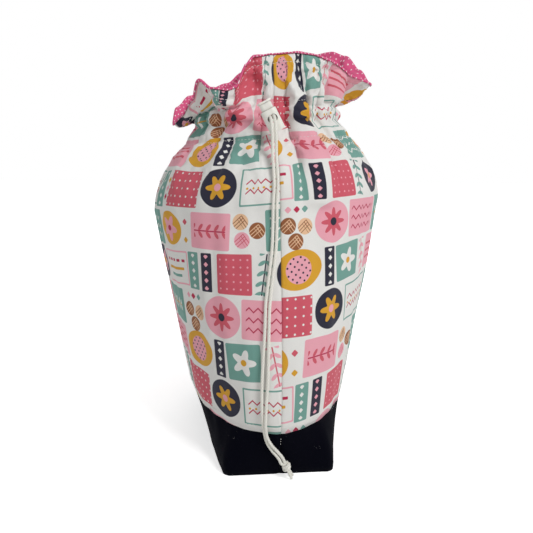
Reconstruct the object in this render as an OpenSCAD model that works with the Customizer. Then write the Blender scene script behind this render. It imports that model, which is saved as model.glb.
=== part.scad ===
// Drawstring knitting bag: a round printed-cotton bag on a boxed canvas base, with a fleece
// interlining, a cotton lining, a frill above the gathered casing, and one cord held by a cord lock.
// The front is -Y, where a side seam, the casing's opening and the lock are, and +Z is up.
// The origin is the middle of the base's underside.

/* [Base] */
// Width of the boxed base, left to right
base_w = 88; // [70:1:110]
// Depth of the boxed base, front to back
base_d = 242; // [200:1:270]
// Rounding of the base's four corners
base_corner_r = 6; // [6:1:25]
// How far the middle of each long base edge bows outward
base_bow = 12; // [0:1:18]
// Height of the dark canvas band above the floor, at the sides
band_h = 45; // [30:0.5:60]
// How much higher the band's seam is on the right, and lower on the left
band_tilt = 4.5; // [0:0.5:6]
// How far the band's seam dips at the front and at the back
band_dip = 8; // [0:0.5:10]

/* [Body] */
// Radius of the filled body where it is roundest
belly_r = 102; // [92:1:115]
// Height of the roundest place, at the front
belly_z = 208; // [180:1:225]
// How much higher that place is on the right, and lower on the left
belly_tilt = 7; // [0:1:12]
// How far the front and back walls bulge below the belly
wall_bulge = 15; // [0:1:20]
// How far the oval wall would stand out past the base's long sides at the floor
wall_spread = 6.5; // [0:0.5:8]
// Height at which the boxed corners have faded into the oval wall
corner_fade = 45; // [36:1:70]

/* [Neck and frill] */
// Radius of the gathered casing
neck_r = 57; // [50:1:70]
// Height of the casing's middle, at the front
neck_z = 284; // [270:1:300]
// How much higher the casing is on the right, and lower on the left
neck_tilt = 4; // [0:1:8]
// Height of the gathered casing band
casing_h = 12; // [10:1:16]
// Height of the frill's front edge above the casing
frill_h = 42; // [30:1:55]
// How far the widest ruffle stands out from the neck
frill_flare = 38; // [20:1:45]
// How far the frill arches above the straight way to its edge
frill_arch = 5; // [0:0.5:8]
// Number of pleats round the neck
pleats = 12; // [8:1:16]
// Depth of a pleat on the shoulder and at the frill's edge
pleat_depth = 3; // [0:0.5:5]

/* [Cloth] */
// Thickness of the printed cotton
outer_t = 0.8; // [0.5:0.1:1.2]
// Thickness of the base canvas
canvas_t = 0.8; // [0.5:0.1:1.2]
// Thickness of the fleece interlining
fleece_t = 1.6; // [1:0.1:2.5]
// Thickness of the lining cotton
lining_t = 0.6; // [0.4:0.1:1]
// Gap left between two layers of cloth
ply_gap = 0.2; // [0.1:0.05:0.4]
// Gap left where two panels meet at a seam
seam_gap = 0.2; // [0.1:0.05:0.4]

/* [Drawstring] */
// Diameter of the cord
cord_d = 2.5; // [2:0.1:2.6]
// Clearance round the cord in the casing and in the lock
cord_room = 0.3; // [0.2:0.05:0.5]
// Width of the casing's opening at the front seam
opening_w = 14; // [13:0.5:18]
// Height of the casing's opening
opening_h = 5; // [4.5:0.5:8]
// Diameter of the knot that joins the cord's ends
knot_d = 8; // [6:0.5:8]

/* [Cord lock] */
// Width of the lock's oval barrel
lock_w = 13; // [12:0.5:15]
// Thickness of the lock's barrel, front to back
lock_t = 9; // [8.5:0.5:9]
// Length of the barrel
barrel_h = 18; // [17:0.5:22]
// Wall of the barrel
barrel_wall = 1.3; // [0.8:0.1:1.4]
// Floor of the barrel, under the spring
barrel_floor = 2; // [1:0.5:2.5]
// Height of the cords' line above the barrel's foot
hole_z = 12.1; // [11.6:0.1:12.6]
// Width of the cord hole through barrel and plunger
hole_w = 8; // [7.8:0.1:8.2]
// How far the plunger can be pressed in
press = 3; // [2:0.5:3.5]
// How far the plunger stands out of the barrel, up to its lip
plunger_out = 6; // [4.5:0.5:7]
// Height of the plunger's lip
lip_h = 1.5; // [1:0.1:2.5]
// How far the lip stands out past the plunger's stem
lip_reach = 1; // [0.5:0.1:1.5]
// Width of the slot at the front of the barrel's mouth
slot_w = 6; // [4:0.5:6]
// Depth of that slot, down from the mouth
slot_h = 1.6; // [1:0.1:2]
// Running gap between plunger and barrel
slide_gap = 0.2; // [0.15:0.05:0.3]
// Wire of the lock's spring
spring_wire = 0.6; // [0.4:0.1:0.8]
// Outside diameter of the lock's spring
spring_d = 4.6; // [3.5:0.1:5]
// Turns of the lock's spring
spring_turns = 4; // [3:1:5]
// Lean of the lock to the left
lock_tilt = 28; // [20:1:35]

/* [Hidden] */
$fn = 48;
half_w = base_w / 2;
half_d = base_d / 2;

// Places round the bag where the frill's edge turns: degrees from the front towards the right, then its
// reach past the neck, its rise and its arch, as shares of frill_flare, frill_h and frill_arch
frill_edge = [
    [0, -0.30, 1.00, 1], [22, -0.18, 1.00, 1], [36, -0.04, 0.96, 0.8], [52, 0.16, 0.85, 0.5],
    [74, 0.40, 0.64, 0], [90, 1.00, 0.50, -0.4], [97, 1.08, 0.56, -0.4], [108, 1.04, 0.90, 0],
    [119, 0.95, 1.26, 0], [127, 0.78, 1.38, 0], [141, 0.55, 1.32, 0.5], [160, 0.20, 1.20, 1],
    [180, 0.00, 1.10, 1], [205, -0.06, 0.95, 1], [228, 0.22, 0.82, 0.5], [246, 0.50, 0.56, 0],
    [260, 0.66, 0.14, 0], [272, 0.70, -0.22, -0.3], [284, 0.52, -0.06, -0.3], [295, 0.43, 0.22, 0],
    [305, 0.46, 0.50, 0], [317, 0.38, 0.38, 0], [328, 0.12, 0.62, 0.4], [342, -0.20, 0.95, 0.8],
    [360, -0.30, 1.00, 1]
];

// The cord's two strands, from the casing through the lock and down to the knot
right_route = [
    [9.3, -53.9, 284.7], [6.2, -54.3, 284.5], [3, -56.6, 284.2], [1.4, -60.5, 283.8], [-0.8, -66, 283.4],
    [-3, -71.5, 281.4], [-3.7, -74.5, 280.7], [-3.7, -78.5, 280.7], [-3.7, -83.5, 280.7],
    [-3.5, -87, 279.6], [-3.2, -89.5, 276.5], [-2.8, -90.5, 271], [-2.4, -91, 264], [-2.2, -92, 252],
    [-1.8, -96, 240], [-1.8, -101.2, 226], [-2.6, -103.4, 216], [-2.8, -106, 200], [-3.9, -111.2, 180],
    [-6.6, -116.4, 160], [-9.1, -120.8, 141], [-10.2, -125.1, 119], [-10.6, -127.8, 100],
    [-11, -129, 81], [-12.2, -129, 57], [-12.3, -129.2, 43], [-11.2, -129, 36], [-7.4, -128.4, 28.4],
    [-2.3, -127.8, 22.2], [1.5, -127.6, 17], [3, -127.6, 13.7]
];
left_route = [
    [-9.3, -53.9, 283.3], [-6.2, -54.3, 283.4], [-3.4, -56.6, 283.5], [-2.6, -60.5, 283.2],
    [-4.2, -66, 281.8], [-5.8, -71.5, 280], [-6.3, -74.5, 279.3], [-6.3, -78.5, 279.3],
    [-6.3, -83.5, 279.3], [-6.2, -87, 278.2], [-6, -89.5, 275], [-5.7, -90.5, 270], [-5.3, -91, 264],
    [-5.1, -92, 252], [-4.7, -96, 240], [-4.7, -101.2, 226], [-5.5, -103.4, 216], [-5.9, -106, 200],
    [-7, -111.1, 180], [-9.6, -116.1, 160], [-12.2, -120.3, 141], [-13.3, -124.6, 119],
    [-14.5, -126.8, 100], [-15.3, -127.8, 81], [-15.2, -127.9, 57], [-14.3, -127.3, 46],
    [-13, -126.9, 38], [-11, -126.9, 30.4], [-7.2, -126.9, 23.7], [-3, -127, 18.4], [-0.9, -127.3, 15.3],
    [0.5, -127.5, 12.2]
];
knot_at = [4.6, -127.6, 9.6];
// The two short ends below the knot, which just reach the floor
end_routes = [
    [[7.1, -126.9, 5.9], [8.5, -126.5, 3.6], [9.9, -126.3, 1.5]],
    [[6.2, -129.6, 5.9], [7.2, -130.5, 3.6], [8.4, -131.2, 1.5]]
];
// Where the casing run hands over to the strands, in degrees either side of the front
run_end = 10;
cord_sides = 8;

function lerp(a, b, t) = a + (b - a) * t;
function smooth(t) = t * t * (3 - 2 * t);
function unit(p) = p / norm(p);

// The base's outline by share u of its edge, from the front's middle round by the right
front_run = half_w - base_corner_r;
side_run = half_d - base_corner_r;
corner_run = PI * base_corner_r / 2;
quarter_run = front_run + corner_run + side_run;

function corner_point(turn) =
    [front_run + base_corner_r * sin(turn), side_run + base_corner_r * cos(turn)];

function quarter_point(s) =
    s < front_run ? [s, half_d]
    : s < front_run + corner_run ? corner_point((s - front_run) / corner_run * 90)
    : [half_w, quarter_run - s];

function base_outline(u) =
    let (
        quarter = floor(u * 4) % 4,
        along = u * 4 - floor(u * 4),
        p = quarter_point(quarter_run * (quarter % 2 == 0 ? along : 1 - along)),
        x = quarter < 2 ? p[0] : -p[0],
        y = quarter == 0 || quarter == 3 ? -p[1] : p[1]
    )
    [x * (1 + base_bow / half_w * (1 - pow(y / half_d, 2))), y];

// Heights that follow the bag's lean
function band_height(u) = band_h + band_tilt * sin(360 * u) - band_dip * (1 - abs(sin(360 * u)));
function belly_height(u) = belly_z + belly_tilt * sin(360 * u);
function casing_foot(u) = neck_z - casing_h / 2 + neck_tilt * sin(360 * u);
function casing_head(u) = casing_foot(u) + casing_h;

function round_point(u, r, z) = [r * sin(360 * u), -r * cos(360 * u), z];

// A point of an oval by share u of its edge; the swing keeps equal shares near equal in length
function oval_point(u, half_x, half_y, z) =
    let (
        swing = 90 / PI * (half_y - half_x) / (half_y + half_x),
        turn = 360 * u + swing * sin(720 * u)
    )
    [half_x * sin(turn), -half_y * cos(turn), z];

// The wall below the belly: a box that widens as it climbs, while its corners fade into an oval, which turns
// into a circle
function wall_point(u, z) =
    let (
        t = z / belly_height(u),
        foot_x = half_w + base_bow + wall_spread,
        half_x = lerp(foot_x, belly_r, t),
        half_y = lerp(half_d, belly_r, smooth(t)) + wall_bulge * sin(180 * t),
        box = base_outline(u),
        oval = oval_point(u, half_x, half_y, z),
        roundness = smooth(min(z / corner_fade, 1))
    )
    [
        lerp(box[0] * half_x / foot_x, oval[0], roundness),
        lerp(box[1] * half_y / half_d, oval[1], roundness),
        z
    ];

function pleat(u) = -pleat_depth * cos(pleats * 360 * u);

// A value of the frill's edge at share u, easing from one turn to the next
function edge_value(u, column) =
    let (
        angle = 360 * u,
        i = max([for (k = [0 : len(frill_edge) - 2]) if (frill_edge[k][0] <= angle) k]),
        span = frill_edge[i + 1][0] - frill_edge[i][0]
    )
    lerp(frill_edge[i][column], frill_edge[i + 1][column], smooth((angle - frill_edge[i][0]) / span));

function frill_point(u, w) =
    let (
        r = neck_r + w * frill_flare * edge_value(u, 1) + w * w * pleat(u),
        rise = w * frill_h * edge_value(u, 2),
        arch = 4 * w * (1 - w) * frill_arch * edge_value(u, 3)
    )
    round_point(u, r, casing_head(u) + rise + arch);

// The outside of the bag, by share u round it and level v: 0 to 1 is the band, 1 to 2 the wall,
// 2 to 3 the shoulder, 3 to 4 the casing and 4 to 5 the frill
function bag_point(share, v) =
    let (u = share - floor(share))
    v <= 1 ? wall_point(u, band_height(u) * v)
    : v <= 2 ? wall_point(u, lerp(band_height(u), belly_height(u), v - 1))
    : v <= 3 ? round_point(
        u,
        lerp(belly_r, neck_r, pow(v - 2, 2)) + pleat(u) * pow(sin(180 * (v - 2)), 2),
        lerp(belly_height(u), casing_foot(u), v - 2)
    )
    : v <= 4 ? round_point(u, neck_r, lerp(casing_foot(u), casing_head(u), v - 3))
    : frill_point(u, v - 4);

probe = 0.004;
function bag_normal(u, v) =
    v >= 3 && v < 4 ? round_point(u, 1, 0)
    : unit(cross(
        bag_point(u + probe, v) - bag_point(u - probe, v),
        bag_point(u, min(v + probe, 5)) - bag_point(u, max(v - probe, 0))
    ));

// A point of a layer that lies deep inside the outside; the lowest wall level rests on its floor
function layer_point(u, v, deep) =
    let (p = bag_point(u, v) - deep * bag_normal(u, v))
    v == 0 ? [p[0], p[1], deep] : p;

// The levels where every layer has its rows, and the columns of the right half
band_levels = [0, 1 / 3, 2 / 3, 1];
wall_levels = [1.2, 1.4, 1.6, 1.8, 2];
shoulder_levels = [2.2, 2.4, 2.55, 2.7, 2.85, 3];
frill_levels = [3.9, 4, 4.2, 4.4, 4.6, 4.8, 5];
columns = 30;
seam_share = seam_gap / (4 * PI * neck_r);
right_shares = [for (i = [0 : columns]) lerp(seam_share, 0.5 - seam_share, i / columns)];
left_shares = [for (u = right_shares) u + 0.5];

// Depths of the layers' faces from the outside
fleece_deep = max(outer_t, canvas_t) + ply_gap;
lining_deep = fleece_deep + fleece_t + ply_gap;
channel_deep = outer_t + cord_d + 2 * cord_room;
function lining_depth(v) = lookup(v, [
    [2.4, lining_deep], [2.85, channel_deep], [4, channel_deep], [4.2, outer_t + ply_gap]
]);

// Faces of a sheet with two sides of rows by cols points each; with has_floor its first row's ends
// are the second row's ends, because the floor's middle line meets the wall there
function sheet_faces(rows, cols, has_floor) =
    let (
        at = function (side, r, c)
            side * rows * cols + cols * (has_floor && r == 0 && (c == 0 || c == cols - 1) ? 1 : r) + c,
        quads = [
            for (r = [0 : rows - 2]) for (c = [0 : cols - 2]) each [
                [at(0, r, c), at(0, r + 1, c), at(0, r + 1, c + 1), at(0, r, c + 1)],
                [at(1, r, c), at(1, r, c + 1), at(1, r + 1, c + 1), at(1, r + 1, c)]
            ],
            for (c = [0 : cols - 2]) each [
                [at(0, 0, c), at(0, 0, c + 1), at(1, 0, c + 1), at(1, 0, c)],
                [at(0, rows - 1, c + 1), at(0, rows - 1, c), at(1, rows - 1, c), at(1, rows - 1, c + 1)]
            ],
            for (r = [0 : rows - 2]) each [
                [at(0, r + 1, 0), at(0, r, 0), at(1, r, 0), at(1, r + 1, 0)],
                [at(0, r, cols - 1), at(0, r + 1, cols - 1), at(1, r + 1, cols - 1), at(1, r, cols - 1)]
            ]
        ],
        triangles = [for (q = quads) each [[q[0], q[1], q[2]], [q[0], q[2], q[3]]]]
    )
    [for (t = triangles) if (t[0] != t[1] && t[1] != t[2] && t[0] != t[2]) t];

// Half a bag layer between two depths, with half the floor when has_floor is true
module half_layer(shares, levels, outer_depth, inner_depth, has_floor) {
    middle = (shares[0] < 0.5 ? 1 : -1) * seam_gap / 2;
    sides = [for (depth = [outer_depth, inner_depth]) concat(
        has_floor ? [[for (u = shares) [middle, (depth(0) - half_d) * cos(360 * u), depth(0)]]] : [],
        [for (v = levels) [for (u = shares) layer_point(u, v, depth(v))]]
    )];
    points = [for (side = sides) for (row = side) each row];
    polyhedron(points, sheet_faces(len(sides[0]), len(shares), has_floor));
}

module casing_opening() {
    translate([0, -neck_r, neck_z])
        rotate([90, 0, 0])
            linear_extrude(4 * outer_t, center = true)
                oval(opening_w, opening_h);
}

module outer_panel(shares) {
    levels = concat([1], wall_levels, shoulder_levels, frill_levels);
    color("mistyrose")
        difference() {
            half_layer(shares, levels, function (v) 0, function (v) outer_t, false);
            casing_opening();
        }
}

module interlining(shares) {
    levels = concat(band_levels, wall_levels, [2.2, 2.4]);
    color("ghostwhite")
        half_layer(shares, levels, function (v) fleece_deep, function (v) fleece_deep + fleece_t, true);
}

module lining(shares) {
    levels = concat(band_levels, wall_levels, shoulder_levels, frill_levels);
    color("hotpink")
        half_layer(
            shares, levels, function (v) lining_depth(v), function (v) lining_depth(v) + lining_t, true
        );
}

module outer_panel_left() outer_panel(left_shares);
module outer_panel_right() outer_panel(right_shares);
module interlining_left() interlining(left_shares);
module interlining_right() interlining(right_shares);
module lining_left() lining(left_shares);
module lining_right() lining(right_shares);

// One piece of canvas: the flat floor and the band, up to the seam under the print
module base_panel() {
    around = 2 * columns;
    top = 1 - seam_gap / band_h;
    levels = [0, top / 3, 2 * top / 3, top];
    rows = len(levels);
    points = concat(
        [for (deep = [0, canvas_t]) for (v = levels) for (i = [0 : around - 1])
            layer_point(i / around, v, deep)],
        [[0, 0, 0], [0, 0, canvas_t]]
    );
    function at(side, r, i) = (side * rows + r) * around + i % around;
    centre = 2 * rows * around;
    faces = [for (i = [0 : around - 1]) each concat(
        [for (r = [0 : rows - 2]) each [
            [at(0, r, i), at(0, r + 1, i), at(0, r + 1, i + 1)],
            [at(0, r, i), at(0, r + 1, i + 1), at(0, r, i + 1)],
            [at(1, r, i), at(1, r + 1, i + 1), at(1, r + 1, i)],
            [at(1, r, i), at(1, r, i + 1), at(1, r + 1, i + 1)]
        ]],
        [
            [at(0, rows - 1, i + 1), at(0, rows - 1, i), at(1, rows - 1, i)],
            [at(0, rows - 1, i + 1), at(1, rows - 1, i), at(1, rows - 1, i + 1)],
            [centre, at(0, 0, i), at(0, 0, i + 1)],
            [centre + 1, at(1, 0, i + 1), at(1, 0, i)]
        ]
    )];
    color("midnightblue") polyhedron(points, faces);
}

// A round cord swept along a route's points
module cord(route, d) {
    last = len(route) - 1;
    rings = [for (i = [0 : last])
        let (
            ahead = unit(route[min(i + 1, last)] - route[max(i - 1, 0)]),
            across = unit(cross(ahead, [1, 0, 0])),
            side = cross(across, ahead)
        )
        [for (k = [0 : cord_sides - 1])
            let (turn = 360 * k / cord_sides)
            route[i] + d / 2 * (cos(turn) * across + sin(turn) * side)]
    ];
    function at(i, k) = i * cord_sides + k % cord_sides;
    faces = concat(
        [for (i = [0 : last - 1]) for (k = [0 : cord_sides - 1]) each [
            [at(i, k), at(i, k + 1), at(i + 1, k + 1)],
            [at(i, k), at(i + 1, k + 1), at(i + 1, k)]
        ]],
        [for (k = [1 : cord_sides - 2]) each [
            [at(0, 0), at(0, k + 1), at(0, k)],
            [at(last, 0), at(last, k), at(last, k + 1)]
        ]]
    );
    polyhedron([for (ring = rings) each ring], faces);
}

module drawstring_casing_run() {
    color("ivory")
        translate([0, 0, neck_z])
            rotate([0, -atan(neck_tilt / neck_r), 0])
                rotate([0, 0, run_end - 90])
                    rotate_extrude(angle = 360 - 2 * run_end)
                        translate([neck_r - outer_t - cord_room - cord_d / 2, 0])
                            circle(d = cord_d);
}

module drawstring_left() color("ivory") cord(left_route, cord_d);

module drawstring_right() color("ivory") cord(right_route, cord_d);

module drawstring_knot() {
    color("ivory") translate(knot_at) sphere(d = knot_d);
}

module drawstring_ends() {
    color("ivory") for (route = end_routes) cord(route, cord_d);
}

// A flat shape with two round ends
module oval(w, t) {
    square([w - t, t], center = true);
    for (side = [-1, 1]) translate([side * (w - t) / 2, 0]) circle(d = t);
}

// The lock stands on its barrel's foot, then leans with the cords' line at its place on the bag
lock_side = -5;
lock_reach = 21.5;
lock_drop = 4;
lock_at = [lock_side, -neck_r - lock_reach, neck_z - lock_drop];
module at_lock() {
    translate(lock_at) rotate([0, -lock_tilt, 0]) translate([0, 0, -hole_z]) children();
}

hole_h = cord_d + 2 * cord_room + press + 0.1;
grip_h = hole_h - press;
stem_floor = 2.5;
stem_foot = hole_z - grip_h / 2 - stem_floor;
lip_foot = barrel_h + plunger_out;

module cord_hole(z) {
    translate([0, 0, z])
        rotate([90, 0, 0])
            linear_extrude(2 * lock_t, center = true)
                oval(hole_w, hole_h);
}

module lock_barrel() {
    color("ivory")
        at_lock()
            difference() {
                linear_extrude(barrel_h) oval(lock_w, lock_t);
                translate([0, 0, barrel_floor])
                    linear_extrude(barrel_h)
                        oval(lock_w - 2 * barrel_wall, lock_t - 2 * barrel_wall);
                cord_hole(hole_z + grip_h / 2 - hole_h / 2);
                translate([0, barrel_wall - lock_t / 2, barrel_h])
                    cube([slot_w, barrel_wall, 2 * slot_h], center = true);
            }
}

module lock_plunger() {
    inset = 2 * (barrel_wall + slide_gap);
    color("ivory")
        at_lock()
            difference() {
                union() {
                    translate([0, 0, stem_foot])
                        linear_extrude(lip_foot - stem_foot)
                            oval(lock_w - inset, lock_t - inset);
                    translate([0, 0, lip_foot])
                        linear_extrude(lip_h)
                            oval(lock_w - inset + 2 * lip_reach, lock_t - inset + 2 * lip_reach);
                }
                cord_hole(hole_z - grip_h / 2 + hole_h / 2);
            }
}

module lock_spring() {
    seat = 0.05;
    coil_r = (spring_d - spring_wire) / 2;
    foot = barrel_floor + spring_wire / 2 + seat;
    rise = stem_foot - spring_wire / 2 - seat - foot;
    steps = 12 * spring_turns;
    wire_sides = 6;
    rings = [for (i = [0 : steps])
        let (turn = 360 * spring_turns * i / steps, out = [cos(turn), sin(turn), 0])
        [for (k = [0 : wire_sides - 1])
            coil_r * out + [0, 0, foot + rise * i / steps]
            + spring_wire / 2 * (cos(360 * k / wire_sides) * out + [0, 0, sin(360 * k / wire_sides)])]
    ];
    function at(i, k) = i * wire_sides + k % wire_sides;
    faces = concat(
        [for (i = [0 : steps - 1]) for (k = [0 : wire_sides - 1]) each [
            [at(i, k), at(i, k + 1), at(i + 1, k + 1)],
            [at(i, k), at(i + 1, k + 1), at(i + 1, k)]
        ]],
        [for (k = [1 : wire_sides - 2]) each [
            [at(0, 0), at(0, k + 1), at(0, k)],
            [at(steps, 0), at(steps, k), at(steps, k + 1)]
        ]]
    );
    color("silver") at_lock() polyhedron([for (ring = rings) each ring], faces);
}

outer_panel_left();
outer_panel_right();
base_panel();
interlining_left();
interlining_right();
lining_left();
lining_right();
drawstring_casing_run();
drawstring_left();
drawstring_right();
drawstring_knot();
drawstring_ends();
lock_barrel();
lock_plunger();
lock_spring();
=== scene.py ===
import bpy
import numpy as np
from mathutils import Matrix, Vector


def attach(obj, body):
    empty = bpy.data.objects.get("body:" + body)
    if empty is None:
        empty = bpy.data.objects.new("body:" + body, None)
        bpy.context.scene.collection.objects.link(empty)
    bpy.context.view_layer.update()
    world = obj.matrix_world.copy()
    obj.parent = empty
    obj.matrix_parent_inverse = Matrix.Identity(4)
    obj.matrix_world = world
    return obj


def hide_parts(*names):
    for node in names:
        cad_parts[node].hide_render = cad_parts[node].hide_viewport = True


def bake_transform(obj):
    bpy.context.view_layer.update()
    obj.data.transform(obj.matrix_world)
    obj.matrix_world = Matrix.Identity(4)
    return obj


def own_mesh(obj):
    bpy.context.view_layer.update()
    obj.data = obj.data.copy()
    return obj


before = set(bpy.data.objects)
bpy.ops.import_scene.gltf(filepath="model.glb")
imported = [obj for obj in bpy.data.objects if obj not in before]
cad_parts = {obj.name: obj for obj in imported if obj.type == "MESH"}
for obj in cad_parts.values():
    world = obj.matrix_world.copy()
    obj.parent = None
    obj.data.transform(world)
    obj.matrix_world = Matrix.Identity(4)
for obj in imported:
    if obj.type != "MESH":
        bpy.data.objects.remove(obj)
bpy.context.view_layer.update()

# Camera
# A phone held about half a metre in front of the bag, a little to its left and level with its shoulder,
# tipped down by ten degrees.
image_px = 533
focal_px = 600
centre_shift_px = 1.3
sensor_mm = 36
azimuth, pitch, roll = np.radians([-6.2, 10.1, 0.6])
camera_distance = 0.563
camera_height = 0.247

away = Vector((np.sin(azimuth), -np.cos(azimuth), 0))
back = away * np.cos(pitch) + Vector((0, 0, np.sin(pitch)))
level_right = Vector((0, 0, 1)).cross(back).normalized()
level_up = back.cross(level_right)
right = level_right * np.cos(roll) + level_up * np.sin(roll)
up = level_up * np.cos(roll) - level_right * np.sin(roll)
lens = bpy.data.cameras.new("photo_camera")
lens.sensor_width = sensor_mm
lens.lens = sensor_mm * focal_px / image_px
lens.shift_x = centre_shift_px / image_px
camera = bpy.data.objects.new("photo_camera", lens)
camera.matrix_world = Matrix.Translation(away * camera_distance + Vector((0, 0, camera_height))) @ Matrix(
    (right, up, back)
).transposed().to_4x4()
bpy.context.scene.collection.objects.link(camera)
bpy.context.scene.camera = camera


# Drawstring
# One braided cotton cord: both strands leave the casing at the front seam, pass through the lock and hang
# down the front. Each strand is a lead, from the casing to the lock, and a tail, from the lock to the knot.
mm = 0.001
cord_d = 2.5 * mm
braid_pitch = 2.6 * mm
braid_lobes = 4
braid_relief = 0.05
cord_sides = 20
cord_step = 0.45 * mm
right_route = [
    [9.3, -53.9, 284.7], [6.2, -54.3, 284.5], [3, -56.6, 284.2], [1.4, -60.5, 283.8], [-0.8, -66, 283.4],
    [-3, -71.5, 281.4], [-3.7, -74.5, 280.7], [-3.7, -78.5, 280.7], [-3.7, -83.5, 280.7],
    [-3.5, -87, 279.6], [-3.2, -89.5, 276.5], [-2.8, -90.5, 271], [-2.4, -91, 264], [-2.2, -92, 252],
    [-1.8, -96, 240], [-1.8, -101.2, 226], [-2.6, -103.4, 216], [-2.8, -106, 200], [-3.9, -111.2, 180],
    [-6.6, -116.4, 160], [-9.1, -120.8, 141], [-10.2, -125.1, 119], [-10.6, -127.8, 100],
    [-11, -129, 81], [-12.2, -129, 57], [-12.3, -129.2, 43], [-11.2, -129, 36], [-7.4, -128.4, 28.4],
    [-2.3, -127.8, 22.2], [1.5, -127.6, 17], [3, -127.6, 13.7],
]
left_route = [
    [-9.3, -53.9, 283.3], [-6.2, -54.3, 283.4], [-3.4, -56.6, 283.5], [-2.6, -60.5, 283.2],
    [-4.2, -66, 281.8], [-5.8, -71.5, 280], [-6.3, -74.5, 279.3], [-6.3, -78.5, 279.3],
    [-6.3, -83.5, 279.3], [-6.2, -87, 278.2], [-6, -89.5, 275], [-5.7, -90.5, 270], [-5.3, -91, 264],
    [-5.1, -92, 252], [-4.7, -96, 240], [-4.7, -101.2, 226], [-5.5, -103.4, 216], [-5.9, -106, 200],
    [-7, -111.1, 180], [-9.6, -116.1, 160], [-12.2, -120.3, 141], [-13.3, -124.6, 119],
    [-14.5, -126.8, 100], [-15.3, -127.8, 81], [-15.2, -127.9, 57], [-14.3, -127.3, 46],
    [-13, -126.9, 38], [-11, -126.9, 30.4], [-7.2, -126.9, 23.7], [-3, -127, 18.4], [-0.9, -127.3, 15.3],
    [0.5, -127.5, 12.2],
]
lock_point = 7
knot_top = [3.9, -127.6, 11.5]
curve_steps = 40


def even_line(points, step):
    """Points at an even step along a smooth curve through the given ones."""
    p = np.array(points, float)
    span = np.linalg.norm(np.diff(p, axis=0), axis=1)[:, None]
    slope = np.diff(p, axis=0) / span
    tangent = np.vstack([
        slope[:1],
        (slope[:-1] * span[1:] + slope[1:] * span[:-1]) / (span[1:] + span[:-1]),
        slope[-1:],
    ])
    t = np.linspace(0, 1, curve_steps, endpoint=False)[:, None, None]
    curve = (
        (2 * t**3 - 3 * t**2 + 1) * p[:-1] + (t**3 - 2 * t**2 + t) * span * tangent[:-1]
        + (3 * t**2 - 2 * t**3) * p[1:] + (t**3 - t**2) * span * tangent[1:]
    )
    curve = np.vstack([curve.transpose(1, 0, 2).reshape(-1, 3), p[-1:]])
    run = np.concatenate([[0], np.cumsum(np.linalg.norm(np.diff(curve, axis=0), axis=1))])
    places = np.linspace(0, run[-1], max(2, round(run[-1] / step) + 1))
    return np.stack([np.interp(places, run, curve[:, k]) for k in range(3)], 1)


def mesh_object(name, points, faces, material):
    """A smooth mesh at the origin, with its place in its points."""
    mesh = bpy.data.meshes.new(name)
    mesh.from_pydata([tuple(p) for p in points], [], faces)
    mesh.validate()
    mesh.polygons.foreach_set("use_smooth", [True] * len(mesh.polygons))
    mesh.materials.append(material)
    made = bpy.data.objects.new(name, mesh)
    bpy.context.scene.collection.objects.link(made)
    return made


def swept_rings(line):
    """Two directions across a line at each of its points, carried along without twist."""
    ahead = np.gradient(line, axis=0)
    ahead /= np.linalg.norm(ahead, axis=1)[:, None]
    across = np.cross(ahead[0], [0.3, 1, 0.2])
    carried = []
    for direction in ahead:
        across = across - direction * (across @ direction)
        across = across / np.linalg.norm(across)
        carried.append(across)
    carried = np.array(carried)
    return carried, np.cross(ahead, carried)


def tube(line, radius, sides):
    """The points and faces of a closed tube along a line; its radius may differ from point to point."""
    across, side = swept_rings(line)
    turn = np.linspace(0, 2 * np.pi, sides, endpoint=False)[None, :, None]
    around = np.cos(turn) * across[:, None] + np.sin(turn) * side[:, None]
    rings = line[:, None] + np.broadcast_to(radius, (len(line), sides))[..., None] * around
    k = np.arange(sides)
    following = (k + 1) % sides
    first = sides * np.arange(len(line) - 1)[:, None]
    walls = np.stack([first + k, first + following, first + sides + following, first + sides + k], -1)
    ends = [k[::-1].tolist(), (sides * (len(line) - 1) + k).tolist()]
    return rings.reshape(-1, 3), walls.reshape(-1, 4).tolist() + ends


def braided_cord(name, line, material, taper=0.0):
    """A round cord along a line, with the crossing yarns of its braid raised on it."""
    along = np.concatenate([[0], np.cumsum(np.linalg.norm(np.diff(line, axis=0), axis=1))])[:, None]
    turn = np.linspace(0, 2 * np.pi, cord_sides, endpoint=False)[None, :]
    climb = 2 * np.pi * along / braid_pitch
    crown = np.maximum(np.cos(braid_lobes * turn + climb), np.cos(braid_lobes * turn - climb))
    radius = cord_d / 2 * (1 - braid_relief + braid_relief * crown) * (1 - taper * (along / along[-1]) ** 2)
    made = mesh_object(name, *tube(line, radius, cord_sides), material)
    shade = made.data.attributes.new("crown", "FLOAT", "POINT")
    shade.data.foreach_set("value", crown.ravel().astype(np.float32))
    return made


def feed(node, inputs):
    """Set a node's inputs: each is a value, or the socket that feeds it."""
    pairs = inputs.items() if isinstance(inputs, dict) else enumerate(inputs)
    for key, value in pairs:
        if isinstance(value, bpy.types.NodeSocket):
            node.id_data.links.new(value, node.inputs[key])
        else:
            node.inputs[key].default_value = value


def add_node(tree, kind, inputs=(), **settings):
    node = tree.nodes.new(kind)
    for key, value in settings.items():
        setattr(node, key, value)
    feed(node, inputs)
    return node


def new_material(name, colour, roughness, inputs=()):
    """A material with its shader and its tree, to add to."""
    material = bpy.data.materials.new(name)
    material.use_nodes = True
    shader = material.node_tree.nodes["Principled BSDF"]
    feed(shader, {"Base Color": (*colour, 1), "Roughness": roughness, **dict(inputs)})
    return material, shader, material.node_tree


def own_place(tree):
    return add_node(tree, "ShaderNodeTexCoord").outputs["Object"]


def ranged(tree, value, source, target=(0, 1)):
    """A value moved from one range into another, and held within it."""
    return add_node(tree, "ShaderNodeMapRange", [value, *source, *target]).outputs[0]


def noise(tree, place, scale, detail, roughness=0.5):
    inputs = {"Vector": place, "Scale": scale, "Detail": detail, "Roughness": roughness}
    return add_node(tree, "ShaderNodeTexNoise", inputs).outputs["Fac"]


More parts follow.
